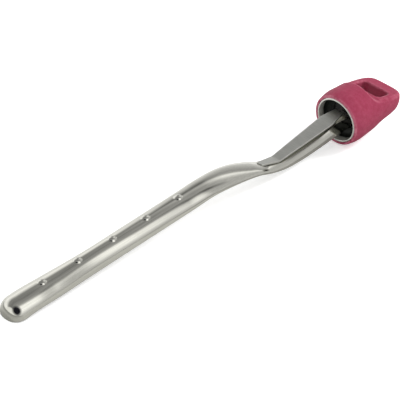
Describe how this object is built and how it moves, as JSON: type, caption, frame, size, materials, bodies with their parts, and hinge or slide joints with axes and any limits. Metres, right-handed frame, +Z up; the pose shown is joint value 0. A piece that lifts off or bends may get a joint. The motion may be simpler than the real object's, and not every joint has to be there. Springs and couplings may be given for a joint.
{
  "type": "garden dibber",
  "caption": "Hand dibber with a narrow round-nosed trough blade of pressed steel with raised depth marks, a bent neck, a flat strap over the tang and a rubber grip cap with a hanging slot.",
  "frame": {"origin": "centre of the bounding box in plan, on the ground plane that the nose and the grip cap rest on", "axes": "+X runs from the nose to the hanging loop, +Y across the blade, +Z up with the convex side of the blade on top"},
  "size_m": [0.3056, 0.0346, 0.0348],
  "materials": {
    "blade_steel": "polished pressed stainless steel",
    "strap_steel": "satin stainless steel",
    "cup_steel": "polished spun stainless steel",
    "core_plastic": "black moulded",
    "pin_steel": "plain drawn bar",
    "grip_rubber": "matte dark pink moulded rubber"
  },
  "bodies": {
    "root": {"blade": "blade_steel", "tang_strap": "strap_steel", "ferrule_cup": "cup_steel", "handle_core": "core_plastic", "cross_pin_front": "pin_steel", "cross_pin_rear": "pin_steel", "grip_cap": "grip_rubber"}
  },
  "joints": []
}
